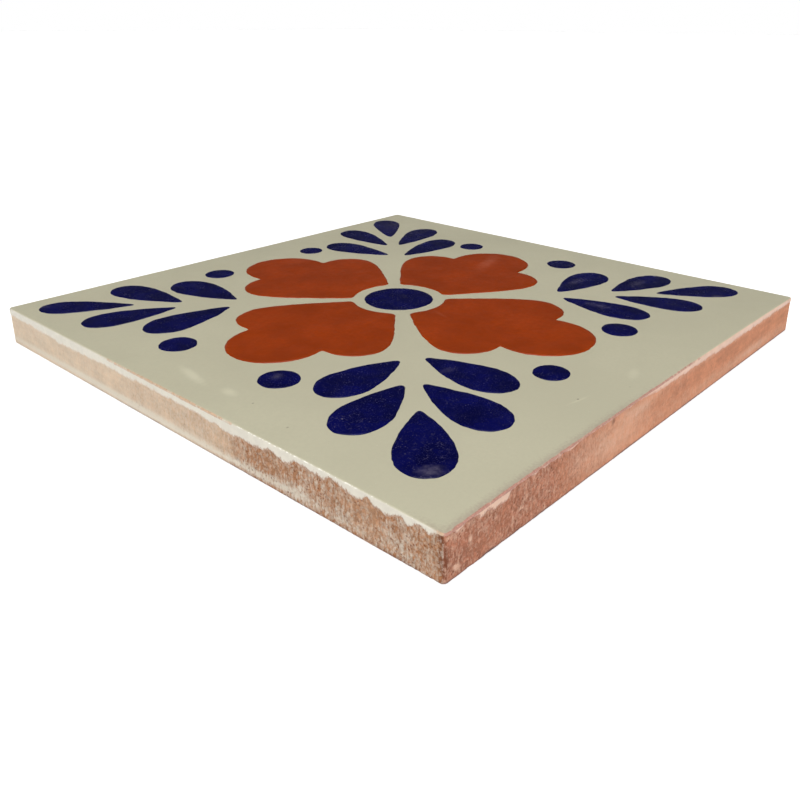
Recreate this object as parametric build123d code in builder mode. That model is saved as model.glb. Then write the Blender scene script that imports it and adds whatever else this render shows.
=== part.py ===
from build123d import *
from collections import namedtuple
from math import atan2, cos, degrees, radians, sin, sqrt
import os

# Handmade clay tile: a square clay blank with a glazed face and a pattern in raised enamel.
# Millimetres, +Z up. The origin is the middle of the bare back, and the glazed face looks up.
# The edges run along X and Y.

# Blank
side = 150.0
glaze_height = 9.8
corner_radius = 2.0
face_arris = 0.5
back_arris = 0.3

# Fall of the face towards its corners, and how far in from a corner it begins
corner_fall = 0.6
corner_reach = 16.0

# Enamel: how far it stands proud of the glaze, and how deep it is fired in
enamel_rise = 0.2
enamel_root = 0.6

# Flower: a round eye in a ring of bare glaze, and petals with three lobes
flower_x = -0.5
flower_y = 3.8
eye_radius = 9.0
ring_width = 3.5
base_half_angle = 38.0
base_softening = 0.5
flank_angle = 36.5
flank_fullness = 0.24
shoulder_out = 32.9
shoulder_across = 22.5
cusp_out = 41.0
cusp_across = 11.4

# Sprays: drops and beads, laid out in one quarter of the tile. Their insets are from the tile's
# edges, the further tip along X first. The middle drop lies on the diagonal, with an inner and an
# outer drop on each side of it, and the beads lie off the flower's own lines.
middle_inset = 25.7
inner_inset_out = 32.4
inner_inset_across = 35.7
inner_angle = 13.0
outer_inset_out = 41.6
outer_inset_across = 45.9
outer_angle = 0.7
drop_length = 24.5
drop_head_radius = 5.9
drop_tip_radius = 0.5
bead_inset = 17.6
bead_off_line = 17.3
bead_radius = 4.4
pivot_inset = 30.0

# Each petal as it was brushed: where it points and how far it is turned, in degrees, its reach,
# how far its tip sits to its left, and how much further out its left shoulder is than its right
Petal = namedtuple("Petal", "direction turn reach tip_aside lean")
petals = [
    Petal(0, 3.1, 56.1, 0.8, 0.0),
    Petal(90, 3.4, 56.5, -0.2, 2.2),
    Petal(180, 0.8, 54.7, -0.7, -2.6),
    Petal(270, 3.0, 57.7, -1.6, 1.0),
]

# Each spray as it was brushed: its corner, how far it is set aside and turned, its spread, how
# full its heads are, and how much thinner each drop is than its neighbour towards the corner
Spray = namedtuple("Spray", "x_sign y_sign out_x out_y turn spread fullness thinning")
sprays = [
    Spray(-1, -1, -2.1, 0.4, -0.3, 1.02, 1.0, 0.0),
    Spray(1, -1, 2.7, -0.8, -1.3, 1.03, 0.93, 0.04),
    Spray(1, 1, -0.8, -0.5, 3.1, 0.97, 0.87, 0.04),
    Spray(-1, 1, 2.0, -0.9, -0.3, 0.99, 0.95, 0.09),
]

face_height = glaze_height + enamel_rise
flower = Vector(flower_x, flower_y)
corner_distance = sqrt(2) * (side / 2 - corner_radius) + corner_radius


def polar(radius, angle):
    """Point at this distance and angle, in degrees, from the origin."""
    return Vector(radius * cos(radians(angle)), radius * sin(radians(angle)))


def petal_side(lean):
    """Outline of a petal's left side, from its cusp round the shoulder and down to its base.

    The petal points along +X from the flower's middle. An arc rounds the shoulder, a cubic curve
    runs down the flank, and the base follows the ring of bare glaze round the eye.
    """
    cusp = Vector(cusp_out + lean / 2, cusp_across)
    shoulder = Vector(shoulder_out + lean / 2, shoulder_across)
    base_radius = eye_radius + ring_width
    base_corner = polar(base_radius, base_half_angle)
    handle = flank_fullness * (shoulder - base_corner).length
    with BuildLine(mode=Mode.PRIVATE) as outline:
        TangentArc(shoulder, cusp, tangent=(1, 0))
        Bezier(
            shoulder,
            shoulder - Vector(handle, 0),
            base_corner + polar(handle, flank_angle),
            base_corner,
        )
        CenterArc((0, 0), base_radius, base_half_angle, -base_half_angle)
    return outline.line


def make_petal(reach, tip_aside, lean):
    """Petal with three lobes that points along +X from the flower's middle, as a sketch."""
    left_cusp = (cusp_out + lean / 2, cusp_across)
    right_cusp = (cusp_out - lean / 2, -cusp_across)
    with BuildSketch(mode=Mode.PRIVATE) as petal:
        with BuildLine():
            ThreePointArc(left_cusp, (reach, tip_aside), right_cusp)
            add(petal_side(lean))
            mirror(petal_side(-lean), about=Plane.XZ)
        make_face()
        fillet(petal.vertices().group_by(Axis.X)[0], base_softening)
    return petal.sketch


def make_drop(head_radius):
    """Drop with its tip at the origin and its round head along +X, as a sketch.

    Each flank is an arc that leaves the head where it is widest and runs to the tip.
    """
    with BuildSketch(mode=Mode.PRIVATE) as drop:
        with BuildLine():
            head = CenterArc((drop_length - head_radius, 0), head_radius, 0, 90)
            TangentArc(head @ 1, (0, 0), tangent=head % 1)
            mirror(about=Plane.XZ)
        make_face()
        fillet(drop.vertices().sort_by(Axis.X)[0], drop_tip_radius)
    return drop.sketch


def spray_drops():
    """Tip, angle and rank of each drop in the first quarter, where the middle one ranks last."""
    half = side / 2
    inner = (half - inner_inset_out, half - inner_inset_across)
    outer = (half - outer_inset_out, half - outer_inset_across)
    return [
        ((half - middle_inset, half - middle_inset), 45.0, 2),
        (inner, inner_angle, 1),
        (inner[::-1], 90 - inner_angle, 1),
        (outer, outer_angle, 0),
        (outer[::-1], 90 - outer_angle, 0),
    ]


def spray_beads():
    """Middles of the two beads in the first quarter."""
    bead = (side / 2 - bead_inset, bead_off_line)
    return [bead, bead[::-1]]


def brushed_place(spray, point):
    """Where a point of the first quarter lies in a spray's own corner, as it was brushed."""
    pivot = Vector(side / 2 - pivot_inset, side / 2 - pivot_inset)
    turned = (Vector(*point) - pivot).rotate(Axis.Z, spray.turn) * spray.spread
    place = pivot + turned + Vector(spray.out_x, spray.out_y)
    return flower + Vector(spray.x_sign * place.X, spray.y_sign * place.Y)


def brushed_angle(spray, angle):
    """Which way a direction of the first quarter points in a spray's own corner."""
    direction = polar(1, angle + spray.turn)
    return degrees(atan2(spray.y_sign * direction.Y, spray.x_sign * direction.X))


def corner_fall_section(height):
    """Section of the wide ring that is taken off a face at this height, so its corners fall."""
    inner = corner_distance - corner_reach
    outer = corner_distance + corner_radius
    with BuildSketch(Plane.XZ, mode=Mode.PRIVATE) as section:
        with BuildLine():
            fall = TangentArc(
                (inner, height), (corner_distance, height - corner_fall), tangent=(1, 0)
            )
            Polyline(
                fall @ 1,
                (outer, height - corner_fall),
                (outer, height + corner_fall),
                (inner, height + corner_fall),
                fall @ 0,
            )
        make_face()
    return section.sketch


def is_on_rim(edge):
    """Whether an edge runs round the outline of the face, the fallen corners included."""
    middle = edge @ 0.5
    at_outline = max(abs(middle.X), abs(middle.Y)) > (side - corner_radius) / 2
    return at_outline and middle.Z > glaze_height / 2


# Enamel: the eye, the petals, the drops and the beads, as one raised layer
with BuildPart() as enamel:
    with BuildSketch(Plane.XY.offset(glaze_height - enamel_root)):
        with Locations(flower):
            Circle(eye_radius)
            for petal in petals:
                outline = make_petal(petal.reach, petal.tip_aside, petal.lean)
                add(outline.rotate(Axis.Z, petal.direction + petal.turn))
        for spray in sprays:
            for tip, angle, rank in spray_drops():
                fullness = spray.fullness * (1 - spray.thinning * rank)
                drop = make_drop(drop_head_radius * fullness)
                with Locations(brushed_place(spray, tip)):
                    add(drop.rotate(Axis.Z, brushed_angle(spray, angle)))
            for bead in spray_beads():
                with Locations(brushed_place(spray, bead)):
                    Circle(bead_radius * spray.fullness)
    extrude(amount=enamel_root + enamel_rise)
    revolve(corner_fall_section(face_height), axis=Axis.Z, mode=Mode.SUBTRACT)

# Tile: the blank with its fallen corners and soft edges, and the enamel fired into its face
with BuildPart() as tile:
    with BuildSketch():
        RectangleRounded(side, side, corner_radius)
    extrude(amount=glaze_height)
    revolve(corner_fall_section(glaze_height), axis=Axis.Z, mode=Mode.SUBTRACT)
    level_edges = tile.edges().filter_by(Axis.Z, reverse=True)
    fillet(level_edges.filter_by(is_on_rim), face_arris)
    fillet(tile.faces().sort_by(Axis.Z)[0].edges(), back_arris)
    add(enamel.part)

tile.part.label = "tile"
os.makedirs("parts", exist_ok=True)
export_step(tile.part, "parts/tile.step")
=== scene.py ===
import math
from collections import namedtuple

import bpy
import numpy as np
from bpy.props import FloatProperty, FloatVectorProperty, IntProperty, PointerProperty
from mathutils import Euler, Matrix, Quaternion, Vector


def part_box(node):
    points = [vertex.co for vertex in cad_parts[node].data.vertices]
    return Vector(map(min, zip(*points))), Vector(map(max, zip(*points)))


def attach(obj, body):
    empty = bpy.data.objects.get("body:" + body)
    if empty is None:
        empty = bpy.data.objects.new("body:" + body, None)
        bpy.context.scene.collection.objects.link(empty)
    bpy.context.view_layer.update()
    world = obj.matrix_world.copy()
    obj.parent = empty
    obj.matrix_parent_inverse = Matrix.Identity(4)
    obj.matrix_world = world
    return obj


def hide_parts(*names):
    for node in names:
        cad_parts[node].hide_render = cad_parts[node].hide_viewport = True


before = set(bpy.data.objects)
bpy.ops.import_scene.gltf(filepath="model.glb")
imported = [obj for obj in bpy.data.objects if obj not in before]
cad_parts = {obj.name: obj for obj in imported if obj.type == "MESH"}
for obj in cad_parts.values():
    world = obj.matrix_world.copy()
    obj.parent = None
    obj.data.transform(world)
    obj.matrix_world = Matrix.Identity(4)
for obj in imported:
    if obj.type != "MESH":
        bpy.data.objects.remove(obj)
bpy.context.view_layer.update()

# Handmade clay tile: bare clay body, cream glaze that runs over the edges, and a pattern brushed
# on in thick cobalt and rust enamel. Lengths are metres, apart from the tables, which are in
# millimetres and degrees.

bl_info = {
    "name": "Handmade glazed tile",
    "version": (1, 0, 0),
    "blender": (4, 5, 0),
    "location": "View3D > Sidebar > Tile",
    "description": "Makes a handmade clay tile with a glazed and hand-painted face",
    "category": "Add Mesh",
}

MM = 0.001
NODE = "tile"
BODY = "root"

# Points round the clay body and round the glaze
CLAY_COLUMNS = 1900
GLAZE_COLUMNS = 1700

# Where the camera stands and what it looks at, its shift, and how far it leans, in degrees
CAMERA_PLACE = (-0.15476, -0.14017, 0.08116)
CAMERA_AIM = (-0.00963, -0.01069, 0.0098)
CAMERA_SHIFT = (-0.02, -0.10)
CAMERA_ROLL = 0.27

# Light that the floor adds for the camera and for mirrors, where 1 is white
FLOOR_LIFT = 0.43

# Grit in the glaze, in a shader's linear values
SPECK_COLOUR = (0.16, 0.13, 0.08)

tile_low, tile_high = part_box(NODE)
tile_half = (tile_high[0] - tile_low[0]) / 2
tile_top = tile_high[2]

# Each petal as it was brushed: where it points and how far it is turned, in degrees, its reach,
# how far its tip sits to its left, how much further out its left shoulder is, and how far both
# shoulders are drawn in, in mm
Petal = namedtuple("Petal", "name direction turn reach tip_aside lean drawn_in")
PETALS = [
    Petal("petal_right", 0, 3.1, 56.1, 0.8, 0.0, 0.0),
    Petal("petal_back", 90, 3.4, 56.5, -0.2, 2.2, 0.0),
    Petal("petal_left", 180, 0.8, 55.0, -0.7, -2.6, 0.9),
    Petal("petal_near", 270, 3.0, 57.7, -1.6, 1.0, 0.2),
]

# Each spray as it was brushed: its corner, how far it is set aside, in mm, and turned, in degrees,
# its spread, how full its heads are, and how much thinner each drop is than its neighbour
Spray = namedtuple("Spray", "name x_sign y_sign out_x out_y turn spread fullness thinning")
SPRAYS = [
    Spray("spray_near", -1, -1, -2.1, 0.3, -0.3, 1.02, 1.0, 0.0),
    Spray("spray_right", 1, -1, 2.1, 0.1, -1.3, 1.03, 0.92, 0.04),
    Spray("spray_back", 1, 1, -0.8, -0.5, 3.1, 0.97, 0.87, 0.04),
    Spray("spray_left", -1, 1, 2.0, -0.9, -0.3, 0.99, 0.95, 0.08),
]

# Drops and beads that stray from their spray: how far over the tile, in mm, how far turned, in
# degrees, and how much longer or wider, in mm. Drops 0 to 4 are the one on the diagonal, the two
# inner and the two outer ones, and 5 and 6 are the beads.
Stray = namedtuple("Stray", "spray number x y turn longer")
STRAYS = [
    Stray("spray_near", 1, -0.9, 0.2, 0.0, -1.2),
    Stray("spray_near", 2, -0.4, 0.4, 3.0, 0.0),
    Stray("spray_near", 3, -1.2, -0.6, -1.0, -1.1),
    Stray("spray_near", 5, -0.4, -0.4, 0.0, 0.1),
    Stray("spray_near", 6, -0.1, -0.5, 0.0, -0.3),
    Stray("spray_right", 0, 0.6, -0.6, 3.0, -1.0),
    Stray("spray_right", 1, 0.9, -0.6, 0.0, -1.2),
    Stray("spray_right", 2, 0.3, -0.6, 3.0, -1.8),
    Stray("spray_right", 3, 0.0, 0.0, 0.0, -1.3),
    Stray("spray_right", 5, -0.4, 1.8, 0.0, 0.25),
    Stray("spray_right", 6, -0.3, 1.9, 0.0, 0.3),
    Stray("spray_back", 4, 0.6, 0.8, 7.0, -0.8),
    Stray("spray_back", 5, -1.0, 1.0, 0.0, 0.2),
    Stray("spray_left", 0, 0.0, 0.6, 4.0, -0.6),
    Stray("spray_left", 1, -0.6, 0.3, -2.0, -1.0),
    Stray("spray_left", 4, 1.1, -0.2, 5.0, 0.0),
    Stray("spray_left", 5, 0.1, -0.9, 0.0, 0.35),
    Stray("spray_left", 6, 0.6, -1.3, 0.0, 0.1),
]

# The four edges in turn: -Y from the near corner to the right one, +X, +Y, and -X back to the
# near corner. Each row is how far along its edge, in mm, and how far the glaze runs down there.
GLAZE_RUNS = [
    [
        (1, 0.2), (3, 1.2), (5, 0.5), (8, 0.6), (9, 1.3), (10.5, 1.3), (11.5, 0.8), (12.5, 1.7),
        (16, 1.9), (17, 0.6), (20, 0.9), (22, 0.4), (62, 0.6), (70, 1.4), (107, 1.9), (148, 1.3),
    ],
    [(0, 1.6), (32, 1.2), (72, 2.0), (112, 1.4), (150, 1.6)],
    [(0, 1.6), (42, 2.1), (82, 1.3), (122, 1.8), (150, 1.4)],
    [
        (0, 1.9), (25, 2.4), (28, 3.0), (32, 2.6), (45, 2.5), (68, 2.0), (80, 1.9), (92, 2.2),
        (96, 2.8), (100, 2.5), (107, 1.9), (111, 2.2), (114, 2.6), (115.5, 1.5), (118, 1.8),
        (123, 1.6), (127, 1.7), (131, 2.1), (133, 1.1), (135, 1.4), (137, 2.1), (140, 1.2),
        (143, 1.8), (145, 1.1), (146.5, 1.9), (148, 1.0), (149, 0.2),
    ],
]

# Where the glaze has drawn back from the rim and the clay shows as a thin line: how far along the
# edge, in mm, and how bare the rim is there, from 0 to 1
BARE_RIMS = [
    [(0, 0.9), (20, 0.8), (40, 0.7), (62, 0.9), (85, 0.6), (100, 0.2), (150, 0.1)],
    [(0, 0.1), (52, 0.6), (92, 0.1), (150, 0.2)],
    [(0, 0.1), (62, 0.1), (92, 0.7), (122, 0.1), (150, 0.1)],
    [(0, 0.0), (42, 0.1), (55, 0.7), (90, 0.8), (98, 0.4), (104, 0.0), (147, 0.0), (149.5, 1.0)],
]

# Painted highlight along the rim's glossy arris, in the same form
RIM_HIGHLIGHTS = [
    [(0, 0.0), (85, 0.0), (105, 0.3), (150, 0.2)],
    [(0, 0.2)],
    [(0, 0.2)],
    [(0, 0.1), (40, 0.1), (60, 0.0), (92, 0.1), (100, 0.65), (125, 0.65), (141, 0.4), (146, 0.0)],
]

# Where the face beside the rim is greyed, in the same form
GREYED_RIMS = [
    [(0, 0.9), (50, 0.8), (75, 0.3), (100, 0.0)],
    [(0, 0.1), (50, 0.3), (90, 0.0)],
    [(60, 0.0), (92, 0.3), (122, 0.0)],
    [(60, 0.0), (80, 0.2), (100, 0.0), (136, 0.0), (149, 0.8)],
]

# How fine and sandy the clay still is, from 0 where it was wiped smooth to 1, in the same form
SANDINESS = [
    [(0, 1.0), (30, 0.9), (42, 0.45), (60, 0.15), (75, 0.25), (100, 0.25), (150, 0.15)],
    [(0, 0.5), (60, 0.9), (150, 0.4)],
    [(0, 0.5), (90, 0.9), (150, 0.4)],
    [(0, 0.05), (45, 0.15), (75, 0.25), (92, 0.4), (102, 1.0), (150, 1.0)],
]

# Dabs of white slip left on the edges: edge, how far along it, height, reach along, reach in
# height, all in mm, and strength
Dab = namedtuple("Dab", "edge along height reach_along reach_height strength")
SLIP_DABS = [
    Dab(3, 50, 1.5, 60, 0.80, 0.85),
    Dab(3, 70, 0.9, 24, 0.4, 0.40),
    Dab(3, 90, 1.2, 17, 0.22, 0.50),
    Dab(3, 108, 1.8, 8, 0.9, 0.40),
    Dab(3, 115, 2.9, 4.5, 1.3, 0.32),
    Dab(3, 128, 2.4, 8, 1.6, 0.20),
    Dab(3, 139, 3.2, 4.5, 1.8, 0.12),
    Dab(3, 120, 6.4, 7, 1.4, 0.10),
    Dab(3, 20, 8.0, 40, 1.0, 0.20),
    Dab(0, 6.3, 5.3, 0.5, 0.5, 0.7),
    Dab(0, 20, 4.2, 0.5, 0.5, 0.8),
    Dab(0, 3.0, 1.9, 0.7, 0.6, 0.8),
    Dab(0, 9, 8.2, 10, 0.5, 0.30),
    Dab(0, 50, 4.6, 13, 3.6, 0.42),
    Dab(0, 61, 7.6, 7, 1.6, 0.40),
    Dab(0, 112, 8.4, 36, 0.5, 0.35),
    Dab(0, 124, 2.2, 7, 0.9, 0.35),
    Dab(0, 113, 6.0, 38, 1.9, -0.35),
    Dab(0, 115, 1.8, 40, 1.5, 0.25),
    Dab(3, 15, 4.5, 45, 4.5, 0.12),
    Dab(1, 42, 3.0, 20, 2.0, 0.4),
    Dab(1, 112, 7.0, 24, 1.8, 0.5),
    Dab(1, 92, 1.0, 40, 0.9, 0.6),
    Dab(2, 52, 6.5, 26, 2.0, 0.5),
    Dab(2, 112, 2.5, 18, 1.6, 0.4),
]

# Stains and burnt spots on the edges, in the same form
STAINS = [
    Dab(0, 0.2, 4.0, 0.9, 4.5, 1.0),
    Dab(3, 149.8, 4.0, 0.8, 4.5, 0.85),
    Dab(3, 149.6, 8.2, 1.2, 1.2, 1.0),
    Dab(3, 148.8, 4.6, 0.9, 2.6, 0.45),
    Dab(0, 50.5, 9.1, 1.0, 1.1, 0.75),
    Dab(0, 19, 4.6, 12, 0.45, 0.50),
    Dab(0, 12, 6.6, 3, 0.5, 0.45),
    Dab(0, 113, 6.3, 38, 2.0, 0.16),
    Dab(0, 106, 4.5, 28, 0.25, 0.30),
    Dab(0, 66, 4.0, 4.0, 0.35, 0.35),
    Dab(0, 72, 4.9, 4.0, 0.35, 0.35),
    Dab(3, 141, 0.5, 8, 0.5, 0.35),
    Dab(3, 98, 1.9, 1.1, 0.8, 0.6),
    Dab(3, 118, 0.3, 36, 0.45, 0.45),
    Dab(1, 72, 5.0, 30, 0.6, 0.3),
    Dab(2, 32, 4.0, 3.0, 1.5, 0.5),
]

# Painted shadow: grey lines along the lower edges, where shade falls in the gap under the tile, in the
# same form
BOTTOM_SHADOWS = [
    Dab(0, 85, 0.0, 130, 0.50, 1.0),
    Dab(0, 11.3, 0.2, 1.5, 0.45, 0.8),
    Dab(3, 75, 0.0, 120, 0.30, 0.8),
    Dab(1, 75, 0.0, 90, 0.35, 0.6),
    Dab(2, 75, 0.0, 90, 0.35, 0.6),
]

# Chips out of the clay's lower edge: edge, how far along it, height, reaches and depth, in mm
CHIPS = [
    Dab(3, 98.0, 1.9, 1.0, 0.7, 0.30),
    Dab(1, 35.0, 0.1, 1.6, 0.7, 0.40),
    Dab(2, 99.0, 0.1, 1.2, 0.5, 0.35),
]

# Marks on the face: middle in x and y, turn in degrees, reach along and across, in mm, strength
Mark = namedtuple("Mark", "x y turn along across strength")
PALE_SMUDGES = [
    Mark(-67.3, 2.0, 80, 9.0, 2.0, 0.75),
    Mark(-67.0, -10.9, 85, 3.8, 2.1, 0.65),
    Mark(-3.9, -68.2, 20, 5.0, 2.0, 0.4),
    Mark(-23.0, -66.3, -10, 5.0, 0.5, 0.4),
]
DARK_SPECKS = [
    Mark(-22.7, -65.9, 0, 0.45, 0.35, 0.8),
    Mark(-67.0, -18.6, 0, 0.40, 0.30, 0.8),
    Mark(-69.0, -31.6, 0, 0.50, 0.35, 0.5),
]
# Pale patches on the cobalt: the one on the near drop's head and those on the right spray are painted
# reflections, the others pale hazy patches
COBALT_HAZE_AND_REFLECTIONS = [
    Mark(-63.2, -61.8, 45, 3.6, 5.0, 0.70),
    Mark(-56.0, -12.5, 45, 3.4, 2.6, 0.45),
    Mark(-29.5, -37.6, 0, 4.5, 2.6, 0.30),
    Mark(45.5, -24.0, 0, 9.0, 3.2, 0.45),
    Mark(30.5, -39.8, 90, 8.0, 3.4, 0.45),
    Mark(56.0, -38.0, 0, 9.0, 3.2, 0.40),
    Mark(-68.0, 68.6, 45, 4.0, 3.0, 0.35),
    Mark(60.5, -60.0, -45, 4.5, 2.4, 0.40),
    Mark(62.0, 60.0, 45, 30.0, 24.0, 0.18),
]
COBALT_SCRATCHES = [
    Mark(-60.0, -37.5, 0, 8.0, 6.0, 0.9),
    Mark(-57.0, -57.0, 45, 9.0, 6.0, 0.8),
    Mark(-36.0, -62.0, 0, 8.0, 8.0, 0.5),
]
# Pale patches on the rust: the broad one on the right petal is a painted reflection of a lamp, the
# others pale hazy patches
RUST_HAZE_AND_REFLECTION = [
    Mark(44.0, 7.0, 20, 20.0, 5.0, 0.55),
    Mark(-3.0, -13.5, 70, 7.0, 1.2, 0.5),
    Mark(5.0, 52.0, 0, 10.0, 8.0, 0.15),
]


def length(name, millimetres, description):
    """Length property whose default is given in millimetres."""
    return FloatProperty(
        name=name, description=description, default=millimetres * MM, unit="LENGTH", precision=5
    )


def angle(name, degrees, description):
    """Angle property whose default is given in degrees."""
    return FloatProperty(
        name=name, description=description, default=math.radians(degrees), subtype="ANGLE"
    )


def colour(name, display, description):
    """Colour property in a shader's linear values, given as it shows on a screen, 0 to 255."""
    linear = [((value / 255 + 0.055) / 1.055) ** 2.4 for value in display]
    return FloatVectorProperty(
        name=name, description=description, default=linear, size=3, min=0.0, max=1.0, subtype="COLOR"
    )


def amount(name, value, description):
    """Plain number without a unit."""
    return FloatProperty(name=name, description=description, default=value)


class BlankSizes(bpy.types.PropertyGroup):
    """Sizes of the clay blank and its glaze."""

    corner_radius: length("Corner radius", 0.9, "Rounding of the four upright corners")
    face_arris: length("Face arris", 0.38, "Rounding where the glazed face turns down")
    back_arris: length("Back arris", 0.25, "Rounding of the bare back's edges")
    face_sink: length("Face sink", 0.13, "How far the face's rim lies under its nominal height")
    tilt_x: length("Tilt X", 0.07, "How much the face rises from its middle to the right")
    tilt_y: length("Tilt Y", 0.10, "How much the face rises from its middle to the back")
    swell: length("Swell", 0.7, "How far the face swells up at the middle of its -Y edge")
    near_fall: length("Near fall", 0.25, "How far the face drops at the near corner")
    fall_reach: length("Fall reach", 20.0, "How far in from the corner the face begins to drop")
    face_wave: length("Face wave", 0.05, "Height of the slow waves in the face")
    glaze_coat: length("Glaze coat", 0.10, "How far the glaze stands proud of the clay's edges")
    skirt_depth: length("Skirt depth", 4.4, "Lowest place under the rim that the glaze is made to")
    grain: length("Grain", 0.06, "Height of the clay's grain on the bare edges")
    pore_depth: length("Pore depth", 0.20, "Depth of the open pores in the edges")


class FlowerSizes(bpy.types.PropertyGroup):
    """Sizes of the flower, whose petals point out from its eye."""

    middle_x: length("Middle X", -0.5, "Where the flower's middle lies across the tile")
    middle_y: length("Middle Y", 3.8, "Where the flower's middle lies along the tile")
    eye_x: length("Eye X", -0.8, "Where the eye was set across the tile")
    eye_y: length("Eye Y", 3.5, "Where the eye was set along the tile")
    eye_radius: length("Eye radius", 9.2, "Radius of the round eye")
    base_radius: length("Base radius", 12.5, "How far from the flower's middle the petals begin")
    base_half_angle: angle("Base half angle", 38.0, "Half the angle that a petal's base spans")
    flank_angle: angle("Flank angle", 36.5, "Direction in which a petal's flank leaves its base")
    flank_fullness: amount("Flank fullness", 0.24, "How strongly the flank holds its direction")
    shoulder_out: length("Shoulder out", 32.9, "How far out a petal is widest")
    shoulder_across: length("Shoulder across", 22.5, "Half a petal's greatest width")
    cusp_out: length("Cusp out", 41.0, "How far out the tip lobe meets the shoulders")
    cusp_across: length("Cusp across", 11.4, "Half the width between the cusps")
    heart_shift: length("Heart shift", 9.0, "How far a petal's innermost point is shifted outward")


class SpraySizes(bpy.types.PropertyGroup):
    """Sizes of a corner's drops and beads. Insets are from the tile's edges."""

    middle_inset: length("Middle inset", 25.7, "Tip of the drop on the diagonal")
    inner_inset_out: length("Inner inset out", 32.4, "Tip of an inner drop, the nearer inset")
    inner_inset_across: length("Inner inset across", 35.7, "Tip of an inner drop, the other inset")
    inner_angle: angle("Inner angle", 13.0, "How far an inner drop turns from the edge's line")
    outer_inset_out: length("Outer inset out", 41.6, "Tip of an outer drop, the nearer inset")
    outer_inset_across: length("Outer inset across", 45.9, "Tip of an outer drop, the other inset")
    outer_angle: angle("Outer angle", 0.7, "How far an outer drop turns from the edge's line")
    drop_length: length("Drop length", 24.5, "Length of a drop from tip to head")
    head_radius: length("Head radius", 5.9, "Half of a drop's greatest width")
    head_length: length("Head length", 7.8, "From where a drop is widest to its head's end")
    flank_power: amount("Flank power", 1.65, "1 for straight flanks, 2 for full ones")
    heart_share: amount("Heart share", 0.68, "How far along a drop its innermost point lies")
    bead_inset: length("Bead inset", 17.6, "Inset of a bead from its edge")
    bead_off_line: length("Bead off line", 17.3, "How far a bead lies off the flower's line")
    bead_radius: length("Bead radius", 4.4, "Radius of a bead")
    pivot_inset: length("Pivot inset", 30.0, "Inset of the point a spray is turned about")


class EnamelSizes(bpy.types.PropertyGroup):
    """How thick the enamel lies and how its edges run."""

    rise: length("Rise", 0.2, "How far the enamel stands proud of the glaze")
    root: length("Root", 0.12, "How deep the enamel is sunk in the glaze")
    soft_edge: length("Soft edge", 0.55, "Width over which the enamel rounds up to its full height")
    wobble: length("Wobble", 0.14, "How far the brush strays from an outline")
    jag: length("Jag", 0.06, "Height of the fine jags in an outline")
    spread: length("Spread", 0.12, "How far the enamel ran out past its outline")
    tip_reach: length("Tip reach", 1.1, "How much further a drop's tip was drawn out")
    petal_rounding: IntProperty(
        name="Petal rounding", description="How often a petal's outline is worn round", default=16
    )
    drop_rounding: IntProperty(
        name="Drop rounding", description="How often a drop's outline is worn round", default=18
    )
    sag: length("Sag", 0.03, "Unevenness of the enamel's surface")
    point_spacing: length("Point spacing", 0.4, "Distance between an outline's points")


class TileColours(bpy.types.PropertyGroup):
    """Colours of the glaze, the enamels and the clay."""

    cream: colour("Cream glaze", (200, 195, 169), "Glaze on the face")
    smudge: colour("Smudge", (220, 215, 189), "Pale smudges in the glaze")
    slip: colour("White slip", (223, 217, 202), "Glaze and slip that ran down the edges")
    warm_slip: colour("Warm slip", (232, 194, 169), "Thin slip on the redder edges")
    cobalt: colour("Cobalt", (2, 5, 66), "Blue enamel")
    # Pale colour of worn places in the cobalt, also used for painted reflections on it
    haze: colour("Haze", (98, 92, 116), "Worn places in the blue enamel")
    rust: colour("Rust", (155, 57, 8), "Red-brown enamel")
    # Pale colour of worn places in the rust, also used for the painted reflection on the right petal
    rust_haze: colour("Rust haze", (186, 102, 76), "Worn places in the red-brown enamel")
    # Grey laid on the face beside the rim
    greyed_face: colour("Greyed face", (158, 136, 122), "Face of the glaze where its rim is worn")
    tan: colour("Tan clay", (160, 113, 80), "Sandy clay of the paler edges")
    peach: colour("Peach clay", (216, 192, 165), "Smooth clay of the paler edges")
    brick: colour("Brick clay", (170, 112, 88), "Sandy clay of the redder edges")
    salmon: colour("Salmon clay", (218, 152, 117), "Smooth clay of the redder edges")
    # Painted highlight along the rim's arris
    rim_highlight: colour("Painted rim highlight", (250, 247, 236), "Lip of glaze along the rim")
    bare_tan: colour("Bare tan rim", (200, 166, 136), "Clay that shows on the paler rims")
    bare_mauve: colour("Bare mauve rim", (184, 132, 118), "Clay that shows on the redder rims")
    # Painted shadow along the lower edges
    bottom_shadow: colour("Bottom shadow", (94, 80, 84), "Grey line along the lower edges")
    scorch: colour("Scorch", (104, 54, 34), "Burnt spots, pores and stains")


class StageSizes(bpy.types.PropertyGroup):
    """Floor, lamps and camera."""

    floor_size: length("Floor size", 12000.0, "Side of the square floor")
    lens: FloatProperty(
        name="Lens", description="Focal length in millimetres", default=36.73, subtype="DISTANCE_CAMERA"
    )
    floor_gap: length("Floor gap", 0.05, "How far the floor lies under the tile's back")
    key: amount("Key sun", 1.38, "Strength of the soft sun on the camera's side")
    top: amount("Top sun", 0.95, "Strength of the soft sun overhead")
    near: FloatProperty(
        name="Near lamp", description="Power of the lamp close by", default=2.5, unit="POWER"
    )


# Shapes


def value_noise(points, cell, seed):
    """Smooth noise from -1 to 1 at points in space.

    Random values sit on a cubic lattice of this cell size and are blended between the eight
    nearest by 3t^2 - 2t^3 along each axis.
    """
    table_size = 64
    table = np.random.default_rng(seed).uniform(-1.0, 1.0, (table_size,) * 3)
    place = points / cell
    base = np.floor(place).astype(int)
    share = place - base
    share = share * share * (3.0 - 2.0 * share)
    total = np.zeros(len(points))
    for corner in range(8):
        step = np.array([corner & 1, (corner >> 1) & 1, (corner >> 2) & 1])
        weight = np.prod(np.where(step == 1, share, 1.0 - share), axis=1)
        index = (base + step) % table_size
        total += weight * table[index[:, 0], index[:, 1], index[:, 2]]
    return total


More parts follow.
